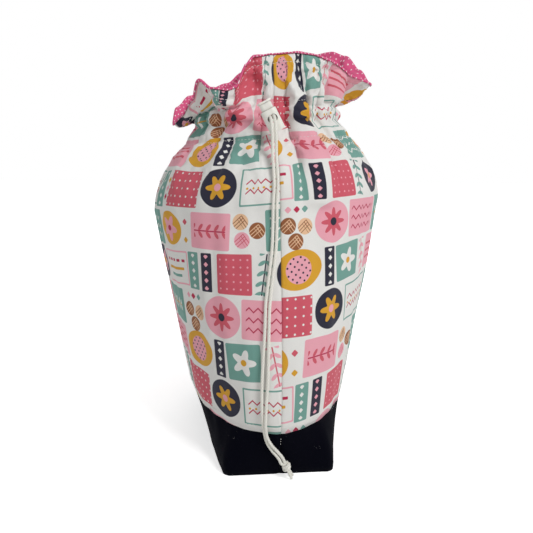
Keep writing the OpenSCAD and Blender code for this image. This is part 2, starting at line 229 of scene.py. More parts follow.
def bump(tree, height, strength, distance):
    inputs = {"Height": height, "Strength": strength, "Distance": distance}
    return add_node(tree, "ShaderNodeBump", inputs).outputs[0]


def mix(tree, share, first, second, blend="MIX"):
    """A blend of two colours; each is a colour or the socket that feeds it."""
    colours = [(*colour, 1) if isinstance(colour, tuple) else colour for colour in (first, second)]
    inputs = {0: share, 6: colours[0], 7: colours[1]}
    return add_node(tree, "ShaderNodeMix", inputs, data_type="RGBA", blend_type=blend).outputs[2]


cord_cotton, cord_shader, cord_tree = new_material(
    "cord_cotton", (0.86, 0.84, 0.74), 0.85, {"Sheen Weight": 0.25}
)
crown_value = add_node(cord_tree, "ShaderNodeAttribute", attribute_name="crown").outputs["Fac"]
# The cord is darker in the hollows between the braid's crossing yarns and lighter on their crowns: painted
# shade
braid_painted_shade = ranged(cord_tree, crown_value, (-0.2, 1))
cord_fibre = noise(cord_tree, own_place(cord_tree), 4200, 3)
feed(cord_shader, {
    "Base Color": mix(cord_tree, braid_painted_shade, (0.79, 0.77, 0.69), (0.91, 0.9, 0.83)),
    "Normal": bump(cord_tree, cord_fibre, 0.35, 0.1 * mm),
})

tail_lines = {}
for strand, route in (("left", left_route), ("right", right_route)):
    points = np.array(route + [knot_top]) * mm
    lead = braided_cord(f"cord_lead_{strand}", even_line(points[: lock_point + 1], cord_step), cord_cotton)
    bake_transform(lead)
    tail_lines[strand] = even_line(points[lock_point:], cord_step)
    tail = braided_cord(f"cord_tail_{strand}", tail_lines[strand], cord_cotton)
    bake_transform(tail)
    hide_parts(f"drawstring_{strand}")


# Knot and cord ends
# The two strands are tied together in one knot, drawn up tight into wraps that lie side by side. The two
# short ends that are left below it just reach the floor, with their tips fraying.
knot_at = np.array([4.6, -127.6, 9.6]) * mm
knot_r, knot_half = 2.6 * mm, 2.4 * mm
knot_wraps, wrap_points = 2.4, 200
knot_waist = 0.45
knot_slant = 0.9 * mm
knot_lean = np.radians(20)
end_routes = [
    [[5.9, -127.2, 7.6], [7.1, -126.9, 5.9], [8.5, -126.5, 3.6], [9.9, -126.3, 1.6]],
    [[5.5, -128.6, 7.6], [6.2, -129.6, 5.9], [7.2, -130.5, 3.6], [8.4, -131.2, 1.6]],
]
wrap = np.linspace(0, 1, wrap_points)
wrap_turn = 2 * np.pi * knot_wraps * wrap
wrap_r = knot_r * (knot_waist + (1 - knot_waist) * np.sin(np.pi * wrap) ** 0.5)
wraps = np.stack([
    wrap_r * np.cos(wrap_turn), wrap_r * np.sin(wrap_turn),
    knot_half * (1 - 2 * wrap) + knot_slant * np.cos(wrap_turn),
], 1)
knot_line = wraps @ np.array(Matrix.Rotation(-knot_lean, 3, "Y")).T + knot_at
knot = braided_cord("cord_knot", knot_line, cord_cotton)
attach(knot, "bag")
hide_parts("drawstring_knot")

end_taper = 0.25
fray_fibres, fray_sides = 16, 3
fray_reach, fray_step, fray_lift = 1.6 * mm, 0.6 * mm, 0.1 * mm
fray_spread, fray_scatter, fray_sunk = 0.32, 0.7 * mm, 0.6 * mm
fibre_root, fibre_tip, fibre_floor = 0.16 * mm, 0.03 * mm, 0.4 * mm
fray = np.random.default_rng(7)
end_points = []
end_faces = []
for order, route in enumerate(end_routes):
    line = even_line(np.array(route) * mm, cord_step)
    end = braided_cord(f"cord_end_{order + 1}", line, cord_cotton, taper=end_taper)
    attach(end, "bag")
    if order == 0:
        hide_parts("drawstring_ends")
    tip = line[-1]
    ahead = (line[-1] - line[-4]) / np.linalg.norm(line[-1] - line[-4])
    for _ in range(fray_fibres):
        spread = fray.normal(0, fray_spread, 3)
        root = tip + fray.uniform(-fray_scatter, fray_scatter, 3) - ahead * fray_sunk
        heading = ahead + spread
        heading[2] = max(heading[2], (fibre_floor - root[2]) / fray_reach)
        far_end = root + heading * fray_reach + np.array([0, 0, fray_lift])
        wisp = even_line([root, root + heading * fray_reach / 2, far_end], fray_step)
        thin = np.linspace(fibre_root, fibre_tip, len(wisp))[:, None]
        wisp_points, wisp_faces = tube(wisp, thin, fray_sides)
        end_faces += [[len(end_points) + corner for corner in face] for face in wisp_faces]
        end_points += list(wisp_points)
frayed_tips = mesh_object("cord_frayed_tips", end_points, end_faces, cord_cotton)
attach(frayed_tips, "bag")


# Cord lock
# A moulded ivory plastic lock: an oval barrel and a lipped plunger, both with a hole for the two strands.
# A small steel spring under the plunger lifts its hole past the barrel's, which pinches the cord.
# Ivory, and a dark brown that is painted shade for the lock's crevices and gaps
ivory, painted_crevice_shade = (0.9, 0.89, 0.82), (0.21, 0.18, 0.13)
lock_plastic, lock_shader, lock_tree = new_material("lock_plastic", ivory, 0.36, {
    "Subsurface Weight": 0.12, "Subsurface Radius": (0.002, 0.0017, 0.0012), "Subsurface Scale": 0.5,
})
lock_grain = noise(lock_tree, own_place(lock_tree), 900, 4)
# Ambient occlusion turns the ivory towards the dark brown in crevices, round the lip and in the gap between
# plunger and barrel: painted shade
lock_shade_mask = add_node(lock_tree, "ShaderNodeAmbientOcclusion", {"Distance": 2.5 * mm}).outputs["AO"]
feed(lock_shader, {
    "Base Color": mix(lock_tree, ranged(lock_tree, lock_shade_mask, (0.3, 0.85)), painted_crevice_shade, ivory),
    "Roughness": ranged(lock_tree, lock_grain, (0.3, 0.7), (0.3, 0.44)),
    "Normal": bump(lock_tree, lock_grain, 0.12, 0.08 * mm),
})
for node_name in ("lock_barrel", "lock_plunger"):
    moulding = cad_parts[node_name]
    moulding.data.materials.clear()
    moulding.data.materials.append(lock_plastic)
    weld = moulding.modifiers.new("weld", "WELD")
    weld.merge_threshold = 0.01 * mm
    edge = moulding.modifiers.new("moulded_edge", "BEVEL")
    edge.limit_method = "ANGLE"
    edge.angle_limit = np.radians(40)
    edge.width = 0.35 * mm
    edge.segments = 3

spring_steel, spring_shader, spring_tree = new_material(
    "spring_steel", (0.62, 0.62, 0.64), 0.28, {"Metallic": 1}
)
spring_draw = noise(spring_tree, own_place(spring_tree), 3000, 2)
feed(spring_shader, {"Roughness": ranged(spring_tree, spring_draw, (0.3, 0.7), (0.2, 0.36))})

lock_tilt = np.radians(28)
lock_at = np.array([-5, -78.5, 280]) * mm
hole_above_foot = 12.1 * mm
spring_foot = 2.35 * mm
spring_rise = 5.3 * mm
spring_turns, turn_steps = 4, 40
spring_r = 2 * mm
spring_wire, wire_sides = 0.6 * mm, 8
barrel_axis = np.array([-np.sin(lock_tilt), 0, np.cos(lock_tilt)])
barrel_side = np.array([np.cos(lock_tilt), 0, np.sin(lock_tilt)])
barrel_foot = lock_at - barrel_axis * hole_above_foot
wind = np.linspace(0, 2 * np.pi * spring_turns, turn_steps * spring_turns + 1)[:, None]
coil = (
    barrel_foot + barrel_axis * (spring_foot + spring_rise * wind / wind[-1])
    + spring_r * (np.cos(wind) * barrel_side + np.sin(wind) * np.array([0, 1, 0]))
)
spring = mesh_object("lock_spring_coil", *tube(coil, spring_wire / 2, wire_sides), spring_steel)
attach(spring, "cord_lock")
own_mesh(spring)
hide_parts("lock_spring")


# Sewn body
# The bag is a tube of cloth, boxed at the base and drawn in by the cord. Its outside is worked out once, by
# share round the bag from the front seam and by level, and every panel and thread below is laid on it.
half_w, half_d = 44 * mm, 121 * mm
corner_r = 6 * mm
base_bow = 12 * mm
band_h, band_tilt, band_dip = 45 * mm, 4.5 * mm, 8 * mm
belly_r, belly_z, belly_tilt = 102 * mm, 208 * mm, 7 * mm
wall_bulge = 15 * mm
wall_spread = 6.5 * mm
corner_fade = 45 * mm
neck_r, neck_z, neck_tilt = 57 * mm, 284 * mm, 4 * mm
casing_h = 12 * mm
frill_h, frill_flare, frill_arch = 42 * mm, 38 * mm, 5 * mm

# Where the frill's edge turns: degrees from the front by the right, its reach past the neck, its rise, and
# how far it arches on the way there, as shares of frill_flare, frill_h and frill_arch
frill_edge = np.array([
    [0, -0.30, 1.00, 1], [22, -0.18, 1.00, 1], [36, -0.04, 0.96, 0.8], [52, 0.16, 0.85, 0.5],
    [74, 0.40, 0.64, 0], [90, 1.00, 0.50, -0.4], [97, 1.08, 0.56, -0.4], [108, 1.04, 0.90, 0],
    [119, 0.95, 1.26, 0], [127, 0.78, 1.38, 0], [141, 0.55, 1.32, 0.5], [160, 0.20, 1.20, 1],
    [180, 0.00, 1.10, 1], [200, -0.06, 0.98, 1], [216, 0.06, 0.72, 0.6], [232, 0.26, 0.56, 0.3],
    [246, 0.50, 0.42, 0], [260, 0.66, 0.14, -0.6], [272, 0.70, -0.22, -1.2], [284, 0.52, -0.06, -1.2],
    [295, 0.43, 0.22, -0.6], [305, 0.46, 0.56, 0], [316, 0.42, 0.37, 0], [326, 0.30, 0.32, 0],
    [331, 0.18, 0.38, 0], [335, -0.06, 0.80, 0.5], [341, -0.20, 0.97, 0.9], [360, -0.30, 1.00, 1],
])
# The gathers at the casing: each valley's angle, the height of the fold after it, and how far it runs down
gathers = np.array([
    [11, 15, 110], [30, 8, 44], [41, 11, 30], [56, 10, 46], [72, 12, 56], [91, 10, 40], [108, 13, 60],
    [130, 11, 42], [150, 13, 58], [172, 10, 46], [191, 13, 64], [213, 11, 44], [233, 12, 58], [254, 10, 40],
    [274, 12, 50], [296, 10, 22], [320, 13, 24], [350, 6, 60],
])
valley_depth = 7 * mm
fold_flat, fold_steep = 3, 0.6
fold_loss, fold_loss_end = 0.9, 0.55
# The frill's soft folds: each one's angle, half its width in degrees, and its height, or depth if less than 0
frill_folds = [
    [14, 7, 3], [25, 4, -5], [38, 8, 4], [53, 5, -5], [68, 9, 5], [82, 5, -7], [97, 9, 5], [112, 6, -6],
    [126, 9, 6], [143, 6, -5], [165, 10, 5], [185, 7, -5], [205, 10, 5], [226, 7, -6], [243, 9, 5],
    [258, 6, -5], [284, 9, 5], [303, 5, -9], [321, 10, 10], [342, 5, -8], [354, 6, 3],
]
# The casing lies between two rows of stitches, where the cloth is drawn in, and puffs out between them: by
# angle, the puff's height and how far the upper row draws in, in millimetres
casing_rows = np.array([2.8, 4.06])
casing_puff = np.array([
    [0, 3, 1.6], [14, 4.5, 1.2], [30, 2, 0.5], [56, 2.5, 0.7], [85, 4.5, 1.6], [300, 4.5, 2], [334, 8, 3.2],
    [352, 4, 2], [360, 3, 1.6],
])
# How deep, and how far to each side, the rows, the topstitch and the seams draw the cloth in
row_sink, row_reach = 2.2 * mm, 0.07
rim_sink, rim_reach, rim_margin = 0.9 * mm, 1.6 * mm, 7 * mm
seam_sink, seam_reach = 0.8 * mm, 2 * mm
slit_levels, slit_half, slit_columns = (3.15, 3.9), 3 * mm, 8
frill_bias, puff_fullness = 0.6, 0.7
ripple_height = 0.25 * mm


def lerp(a, b, t):
    return a + (b - a) * t


def smooth(t):
    t = np.clip(t, 0, 1)
    return t * t * (3 - 2 * t)


def base_outline(u):
    """The boxed base's outline, by share of its edge."""
    front_run, side_run = half_w - corner_r, half_d - corner_r
    corner_run = np.pi * corner_r / 2
    quarter = np.floor(u * 4) % 4
    along = u * 4 - np.floor(u * 4)
    s = (front_run + corner_run + side_run) * np.where(quarter % 2 == 0, along, 1 - along)
    turn = np.clip((s - front_run) / corner_run, 0, 1) * np.pi / 2
    x = np.minimum(s, front_run) + corner_r * np.sin(turn)
    y = side_run + corner_r * np.cos(turn) - np.maximum(s - front_run - corner_run, 0)
    x = np.where(quarter < 2, x, -x) * (1 + base_bow / half_w * (1 - (y / half_d) ** 2))
    return x, np.where((quarter == 0) | (quarter == 3), -y, y)


def wall_plan(u, z, belly_height):
    """The wall below the belly: a box that widens as it climbs and fades into an oval, then a circle."""
    t = z / belly_height
    foot_x = half_w + base_bow + wall_spread
    half_x = lerp(foot_x, belly_r, t)
    half_y = lerp(half_d, belly_r, smooth(t)) + wall_bulge * np.sin(np.pi * t)
    swing = (half_y - half_x) / (half_y + half_x) / 2
    turn = 2 * np.pi * u + swing * np.sin(4 * np.pi * u)
    box_x, box_y = base_outline(u)
    roundness = smooth(z / corner_fade)
    return (
        lerp(box_x * half_x / foot_x, half_x * np.sin(turn), roundness),
        lerp(box_y * half_y / half_d, -half_y * np.cos(turn), roundness),
    )


def eased(angle, knots, values):
    """A value that eases from one knot to the next."""
    i = np.clip(np.searchsorted(knots, angle, "right") - 1, 0, len(knots) - 2)
    return lerp(values[i], values[i + 1], smooth((angle - knots[i]) / (knots[i + 1] - knots[i])))


def gather(u):
    """The height of the neck's folds, how far they run down, and the place across each fold from -1 to 1."""
    valleys = np.append(gathers[:, 0], gathers[0, 0] + 360)
    angle = (360 * u - valleys[0]) % 360 + valleys[0]
    i = np.clip(np.searchsorted(valleys, angle, "right") - 1, 0, len(gathers) - 1)
    across_fold = 2 * (angle - valleys[i]) / (valleys[i + 1] - valleys[i]) - 1
    height = gathers[i, 1] * mm * (1 - np.abs(across_fold) ** fold_flat) ** fold_steep - valley_depth
    middles = (valleys[:-1] + valleys[1:]) / 2
    run = np.interp(angle, middles, gathers[:, 2] * mm, period=360)
    return height, run, across_fold


def bag_point(u, v, fold_share=1.0):
    """The outside of the bag: level 0 to 1 is the band, 2 the belly, 3 to 4 the casing, 5 the edge."""
    turn = 2 * np.pi * u
    belly_height = belly_z + belly_tilt * np.sin(turn)
    casing_foot = neck_z - casing_h / 2 + neck_tilt * np.sin(turn)
    fold, fold_run, across_fold = gather(u)

    band_height = band_h + band_tilt * np.sin(turn) - band_dip * (1 - np.abs(np.sin(turn)))
    z = np.where(v <= 1, band_height * v, lerp(band_height, belly_height, np.clip(v - 1, 0, 1)))
    wall_x, wall_y = wall_plan(u, z, belly_height)

    s = np.clip(v - 2, 0, 1)
    w = np.clip(v - 4, 0, 1)
    reach = frill_flare * eased(360 * u, frill_edge[:, 0], frill_edge[:, 1])
    rise = frill_h * eased(360 * u, frill_edge[:, 0], frill_edge[:, 2])
    arch = frill_arch * eased(360 * u, frill_edge[:, 0], frill_edge[:, 3])
    r = lerp(belly_r, neck_r, s**2) + w * reach
    round_z = (
        lerp(belly_height, casing_foot, s) + casing_h * np.clip(v - 3, 0, 1)
        + w * rise + 4 * w * (1 - w) * arch
    )
    below = np.maximum(casing_foot - round_z, 0)
    r = r + fold_share * fold * (1 - smooth(below / fold_run)) * (1 - fold_loss * smooth(w / fold_loss_end))
    for angle, half_width, height in frill_folds:
        off = (360 * u - angle + 180) % 360 - 180
        r = r + height * mm * np.exp(-(off / half_width) ** 2) * np.sin(np.pi * w**frill_bias)
    across_casing = np.clip((v - casing_rows[0]) / np.ptp(casing_rows), 0, 1)
    puff, upper_sink = (mm * eased(360 * u, casing_puff[:, 0], casing_puff[:, i]) for i in (1, 2))
    pinch = (
        row_sink * np.exp(-((v - casing_rows[0]) / row_reach) ** 2)
        + upper_sink * np.exp(-((v - casing_rows[1]) / row_reach) ** 2)
    )
    r = r + fold_share * (puff * np.sin(np.pi * across_casing) ** puff_fullness - pinch)

    low = v <= 2
    round_x, round_y = r * np.sin(turn), -r * np.cos(turn)
    return np.stack([
        np.where(low, wall_x, round_x), np.where(low, wall_y, round_y), np.where(low, z, round_z),
    ], -1)


columns = 400
level_ends = [0, 1, 2, 2.7, 2.9, 3.95, 4.2, 5]
level_rows = [8, 34, 20, 8, 8, 8, 22]
levels = np.concatenate([
    np.linspace(low, high, count, endpoint=False)
    for low, high, count in zip(level_ends[:-1], level_ends[1:], level_rows)
] + [level_ends[-1:]])
shares = np.arange(columns + 1) / columns
plain_skin = bag_point((shares % 1)[None, :], levels[:, None])


def row_at(level):
    """The row of the grid that is nearest to a level."""
    return int(np.abs(levels - level).argmin())


def grid_normals(grid):
    """Outward directions at the points of a grid that closes on itself."""
    closed = np.concatenate([grid[:, -2:-1], grid, grid[:, 1:2]], 1)
    round_it = closed[:, 2:] - closed[:, :-2]
    up_it = np.gradient(grid, axis=0)
    normal = np.cross(round_it, up_it)
    return normal / np.linalg.norm(normal, axis=-1, keepdims=True)


outward = grid_normals(plain_skin)
ripple_dice = np.random.default_rng(5)
ripple_waves = [(7, 0.9), (9, 1.4), (11, 0.8), (14, 1.7), (17, 2.6), (23, 1.1), (31, 2.3), (37, 3.1)]
ripple = np.zeros(plain_skin.shape[:2])
for waves_round, waves_up in ripple_waves:
    start = ripple_dice.uniform(0, 2 * np.pi, 2)
    sway = np.sin(3 * levels[:, None] * waves_up + start[1])
    ripple += np.sin(2 * np.pi * waves_round * shares + start[0] + sway)
ripple_share = np.interp(levels, [0, 0.6, 1.4, 4.6, 5], [0.2, 0.4, 1, 1, 0.4])[:, None]
skin = plain_skin + (ripple_height * ripple_share * ripple)[..., None] * outward
cloth_round = 2 * np.pi * belly_r
climbs = np.linalg.norm(np.diff(plain_skin, axis=0), axis=2).mean(1)
cloth_up = np.concatenate([[0], np.cumsum(climbs)])
seam_distance = np.minimum(shares % 0.5, -shares % 0.5) * cloth_round
skin = skin - (seam_sink * np.exp(-(seam_distance / seam_reach) ** 2))[None, :, None] * outward

# The cloth above the belly is a little too wide for its place and buckles between its rows of stitches: a
# simulation on one closed tube. Only its folds are kept, and they fade out at the front seam and both edges
slack_share, slack_frames, slack_cap, fewest_folds = 0.1, 14, 4 * mm, 6
seam_fade, belly_fade, edge_fade = 8, (2.1, 0.6), 0.12
held_rows = np.array([
    [2, 1], [2.2, 0], [2.76, 0], [2.8, 1], [2.84, 0], [4.02, 0], [4.06, 1], [4.1, 0], [4.9, 0], [5, 0.9],
])
neck_rows = slice(row_at(2), len(levels))
neck_levels = levels[neck_rows]
neck = skin[neck_rows, :-1]
corner = np.arange(neck[..., 0].size).reshape(neck.shape[:2])
beside = np.roll(corner, -1, axis=1)
neck_faces = np.stack([corner[:-1], beside[:-1], beside[1:], corner[1:]], -1).reshape(-1, 4)
slack_tube = mesh_object("slack_tube", neck.reshape(-1, 3), neck_faces.tolist(), cord_cotton)
held = slack_tube.vertex_groups.new(name="held")
for row, share in zip(corner, np.interp(neck_levels, held_rows[:, 0], held_rows[:, 1])):
    held.add(row.tolist(), float(share), "REPLACE")
buckling = slack_tube.modifiers.new("buckling", "CLOTH")
cloth = buckling.settings
cloth.quality, cloth.mass = 5, 0.15
cloth.tension_stiffness, cloth.compression_stiffness, cloth.shear_stiffness = 12, 12, 4
cloth.bending_stiffness = 0.4
cloth.shrink_min = -slack_share
cloth.vertex_group_mass = "held"
cloth.effector_weights.gravity = 0
buckling.point_cache.frame_end = slack_frames
for moment in range(1, slack_frames + 1):
    bpy.context.scene.frame_set(moment)
settled = bpy.data.meshes.new_from_object(slack_tube.evaluated_get(bpy.context.evaluated_depsgraph_get()))
places = np.zeros(neck.size)
settled.vertices.foreach_get("co", places)
waves = np.fft.rfft(places.reshape(neck.shape) - neck, axis=1)
waves[:, :fewest_folds] = 0
moves = np.fft.irfft(waves, columns, axis=1)
moves = np.concatenate([moves, moves[:, :1]], 1)
length = np.linalg.norm(moves, axis=2, keepdims=True)
moves = moves * slack_cap * np.tanh(length / slack_cap) / np.maximum(length, 1e-9)
from_front = np.minimum(shares, 1 - shares) * 360
above_belly = smooth((neck_levels - belly_fade[0]) / belly_fade[1])
below_edge = smooth((levels[-1] - neck_levels) / edge_fade)
free = smooth(from_front / seam_fade) * above_belly[:, None] * below_edge[:, None]
skin[neck_rows] += moves * free[..., None]
bpy.data.objects.remove(slack_tube)
bpy.data.meshes.remove(settled)
bpy.context.scene.frame_set(1)

# The topstitch below the frill's edge draws the cloth in, and the casing's opening is a gap in the front seam
drops = np.linalg.norm(np.diff(skin[::-1], axis=0), axis=2)
from_rim = np.concatenate([np.zeros((1, columns + 1)), np.cumsum(drops, axis=0)])[::-1]
skin = skin - (rim_sink * np.exp(-((from_rim - rim_margin) / rim_reach) ** 2))[..., None] * outward
skin_shift = skin - plain_skin
slit = slit_half * np.sin(np.pi * np.clip((levels - slit_levels[0]) / np.ptp(slit_levels), 0, 1))
for column in range(slit_columns):
    part = 1 - smooth(column / slit_columns)
    skin[:, column, 0] += slit * part
    skin[:, columns - column, 0] -= slit * part


def cloth_sheet(name, sheet, places_x, places_y, material):
    """A sheet of cloth over a grid of points, with its own flat measures as its UV map."""
    count_y, count_x = sheet.shape[:2]
    corner = np.arange(count_y * count_x).reshape(count_y, count_x)
    faces = np.stack([corner[:-1, :-1], corner[:-1, 1:], corner[1:, 1:], corner[1:, :-1]], -1).reshape(-1, 4)
    made = mesh_object(name, sheet.reshape(-1, 3), faces.tolist(), material)
    flat = np.stack(np.broadcast_arrays(places_x, places_y[:, None]), -1).reshape(-1, 2)
    loops = np.zeros(len(made.data.loops), np.int32)
    made.data.loops.foreach_get("vertex_index", loops)
    made.data.uv_layers.new(name="flat").data.foreach_set("uv", flat[loops].ravel().astype(np.float32))
    return made


def thicken(piece, thickness):
    """Give a sheet its thickness, inward from the surface it is laid on."""
    solid = piece.modifiers.new("thickness", "SOLIDIFY")
    solid.thickness = thickness
    solid.offset = -1


# Base
# A floor and a band cut from one piece of blue-black cotton canvas, boxed at the corners. The coarse weave
# holds a few pale specks of lint.
canvas_t, canvas_deep = 0.8 * mm, 0.4 * mm
canvas_thread = 0.75 * mm
slub_scale, slub_height = 0.6, 1.2
band_overlap = 2
floor_steps, floor_start = 8, 0.02


def dye(red, green, blue):
    """A dye's colour as light, from its red, green and blue out of 255."""
    shade = np.array([red, green, blue]) / 255
    return tuple(np.where(shade <= 0.04045, shade / 12.92, ((shade + 0.055) / 1.055) ** 2.4))


def number(tree, operation, *inputs):
    return add_node(tree, "ShaderNodeMath", inputs, operation=operation).outputs[0]


def woven(tree, shader, thread, relief, strength):
    """Raise a plain weave on a cloth's shader; the place on the flat cloth is its UV map, in metres."""
    flat_place = add_node(tree, "ShaderNodeUVMap", uv_map="flat").outputs[0]
    parts = add_node(tree, "ShaderNodeSeparateXYZ", [flat_place]).outputs
    waves = [number(tree, "SINE", number(tree, "MULTIPLY", part, np.pi / thread)) for part in parts[:2]]
    over_under = number(tree, "MULTIPLY", *waves)
    slub = noise(tree, flat_place, slub_scale / thread, 3, 0.6)
    height = number(tree, "MULTIPLY_ADD", slub, slub_height, over_under)
    feed(shader, {"Normal": bump(tree, height, strength, relief)})
    return flat_place, over_under, slub


base_canvas, canvas_shader, canvas_tree = new_material(
    "base_canvas", dye(5, 7, 14), 0.95, {"Specular IOR Level": 0.06}
)
canvas_place, canvas_weave, _ = woven(canvas_tree, canvas_shader, canvas_thread, 0.12 * mm, 0.6)
canvas_colour = mix(canvas_tree, ranged(canvas_tree, canvas_weave, (-1, 1)), dye(0, 0, 5), dye(5, 6, 17))
lint_stretch = add_node(
    canvas_tree, "ShaderNodeMapping",
    {"Vector": canvas_place, "Rotation": (0, 0, 0.6), "Scale": (420, 1100, 1)},
).outputs[0]
lint_specks = noise(canvas_tree, lint_stretch, 1, 1.5)
lint_patches = noise(canvas_tree, canvas_place, 34, 2)
lint_here = number(canvas_tree, "MULTIPLY", lint_specks, lint_patches)
lint_amount = ranged(canvas_tree, lint_here, (0.425, 0.465), (0, 0.8))
feed(canvas_shader, {"Base Color": mix(canvas_tree, lint_amount, canvas_colour, dye(170, 168, 165))})

band_rows = row_at(1) + band_overlap
band = skin[:band_rows] - canvas_deep * outward[:band_rows]
band[0, :, 2] = 0
floor_shares = np.linspace(floor_start, 1, floor_steps)[:-1]
floor_rows = np.stack([band[0] * [share, share, 0] for share in floor_shares])
base_sheet = np.concatenate([floor_rows, band])
base_up = np.concatenate([np.linspace(-half_w, 0, floor_steps)[:-1], cloth_up[:band_rows]])
base = cloth_sheet("canvas_base", base_sheet, shares * cloth_round, base_up, base_canvas)
thicken(base, canvas_t)
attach(base, "bag")
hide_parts("base_panel")


# Printed panels
# Two panels of quilting cotton, joined by side seams at the front and the back. The print is rows of plain
# motifs on white: blocks, frames, dots, flowers, sprigs, pincushions and balls of yarn, in millimetres.
outer_t = 0.8 * mm
cotton_thread = 0.42 * mm
tile_w, tile_h = 156, 168
row_shifts = [0, 61, 27, 96, 122]
soft_edge_mm = 0.14
white_ground = dye(240, 239, 235)
coral, rose, petal = dye(214, 92, 108), dye(190, 45, 80), dye(243, 172, 186)
teal, ink, mustard = dye(118, 166, 155), dye(34, 34, 52), dye(224, 166, 48)
brown, sand = dye(150, 92, 58), dye(238, 196, 158)

print_cotton, print_shader, print_tree = new_material(
    "print_cotton", white_ground, 0.82, {"Sheen Weight": 0.12, "Specular IOR Level": 0.3}
)
print_place, _, print_slub = woven(print_tree, print_shader, cotton_thread, 0.05 * mm, 0.35)
layers = []


def vector(tree, operation, *inputs):
    node = add_node(tree, "ShaderNodeVectorMath", inputs, operation=operation)
    return node.outputs["Value" if operation == "LENGTH" else "Vector"]


def value(operation, *inputs):
    return number(print_tree, operation, *inputs)


def point(operation, *inputs):
    return vector(print_tree, operation, *inputs)


def parts_of(place):
    return add_node(print_tree, "ShaderNodeSeparateXYZ", [place]).outputs


def at(place, x, y, turn=0):
    """The place seen from a motif's own middle and turn."""
    return add_node(
        print_tree, "ShaderNodeMapping",
        {"Vector": place, "Location": (x, y, 0), "Rotation": (0, 0, np.radians(turn))}, vector_type="TEXTURE",
    ).outputs[0]


def inside_of(distance):
    """1 within a shape and 0 outside it, with a thin soft edge between."""
    return ranged(print_tree, distance, (-soft_edge_mm, soft_edge_mm), (1, 0))


def block(place, width, height, corner=1.5):
    past = point("SUBTRACT", point("ABSOLUTE", place), (width / 2 - corner, height / 2 - corner, 0))
    return inside_of(value("SUBTRACT", point("LENGTH", point("MAXIMUM", past, (0, 0, 0))), corner))


def disc(place, width, height):
    reach = point("LENGTH", point("DIVIDE", place, (width / 2, height / 2, 1)))
    return inside_of(value("MULTIPLY_ADD", reach, min(width, height) / 2, -min(width, height) / 2))


def blossom(place, width, petals, reach=0.38, scallop=0.12):
    x, y = parts_of(place)[:2]
    wave = value("COSINE", value("MULTIPLY", value("ARCTAN2", y, x), petals))
    edge = value("MULTIPLY_ADD", wave, scallop * width, reach * width)
    return inside_of(value("SUBTRACT", point("LENGTH", place), edge))


def repeated(place, step_x, step_y):
    """The place within its own cell of a pattern that repeats."""
    return point("WRAP", place, (step_x / 2, step_y / 2, 1), (-step_x / 2, -step_y / 2, -1))


def zigzag(place, step, height, thick):
    x, y = parts_of(repeated(place, step, 999))[:2]
    lift = value("MULTIPLY_ADD", value("ABSOLUTE", x), 2 * height / step, -height / 2)
    return inside_of(value("SUBTRACT", value("ABSOLUTE", value("SUBTRACT", y, lift)), thick / 2))


def both(mask, other):
    return value("MULTIPLY", mask, other)


def print_ink(colour, mask):
    layers.append((colour, mask))


def plain_block(place, width, height, colour):
    field = block(place, width, height)
    print_ink(colour, field)
    return field


def frame_box(place, width, height, colour, border=1.3):
    print_ink(colour, block(place, width, height, 1))
    print_ink(white_ground, block(place, width - 2 * border, height - 2 * border, 0.6))


def dotted(place, field, step, size, colour):
    print_ink(colour, both(field, disc(repeated(place, step, step), size, size)))


def zigzags(place, field, rows, colour, row_step=7.5, step=7, height=3.4, thick=1.3):
    for row in range(rows):
        line = zigzag(at(place, 0, (row - (rows - 1) / 2) * row_step), step, height, thick)
        print_ink(colour, both(field, line))


def sprig(place, height, leaf, stem, leaf_pairs=4, leaf_size=(2.9, 6.6), leaf_turn=52):
    """A straight stem with pairs of leaves."""
    x, y = parts_of(place)[:2]
    halved = add_node(print_tree, "ShaderNodeCombineXYZ", [value("ABSOLUTE", x), y]).outputs[0]
    pair = at(repeated(halved, 999, height / leaf_pairs), 2.9, 0.6, leaf_turn)
    print_ink(stem, block(place, 1.1, height, 0.4))
    print_ink(leaf, both(disc(pair, *leaf_size), block(place, 14, height, 1)))


def flower_disc(place, width, field_colour, petal_colour, eye_colour, petals=6):
    flower, eye = 0.68 * width, 0.19 * width
    print_ink(field_colour, disc(place, width, width))
    print_ink(petal_colour, blossom(place, flower, petals))
    print_ink(eye_colour, disc(place, eye, eye))


def yarn_ball(place, colour, strand, width=12.5, strand_step=2.2, strand_width=0.6):
    """A ball with two bands of parallel strands wound across it."""
    ball = disc(place, width, width)
    print_ink(colour, ball)
    for turn, side in ((35, 1.6), (-50, -1.2)):
        wound = block(repeated(at(place, side, 0, turn), strand_step, 999), strand_width, 2 * width, 0.2)
        half = block(at(place, side * 1.7, 0, turn), 0.5 * width, 0.8 * width, 1)
        print_ink(strand, both(both(ball, wound), half))


def pincushion(place, width, height, ground, colour, pin_colour, pin_step=4.2, pin_size=1.6):
    print_ink(ground, disc(place, width, height))
    cushion = disc(place, 0.7 * height, 0.7 * height)
    print_ink(colour, cushion)
    dotted(at(place, 0, 0, 45), cushion, pin_step, pin_size, pin_colour)


def bar(place, width, height, colour, mark_colour, step=6.4, mark=2.9):
    print_ink(colour, block(place, width, height, 1))
    turned = at(repeated(place, 999, step), 0, 0, 45)
    print_ink(mark_colour, both(block(turned, mark, mark, 0.4), block(place, width, height - 3, 1)))


def diamonds(place, colours, step=7, size=4):
    for count, colour in enumerate(colours):
        middle = (count - (len(colours) - 1) / 2) * step
        print_ink(colour, block(at(place, middle, 0, 45), size, size, 0.8))


sizes_mm = point("MULTIPLY", print_place, (1 / mm, 1 / mm, 0))
rows = [
    point("WRAP", point("ADD", sizes_mm, (shift, 0, 0)), (tile_w, tile_h, 1), (0, 0, -1))
    for shift in row_shifts
]

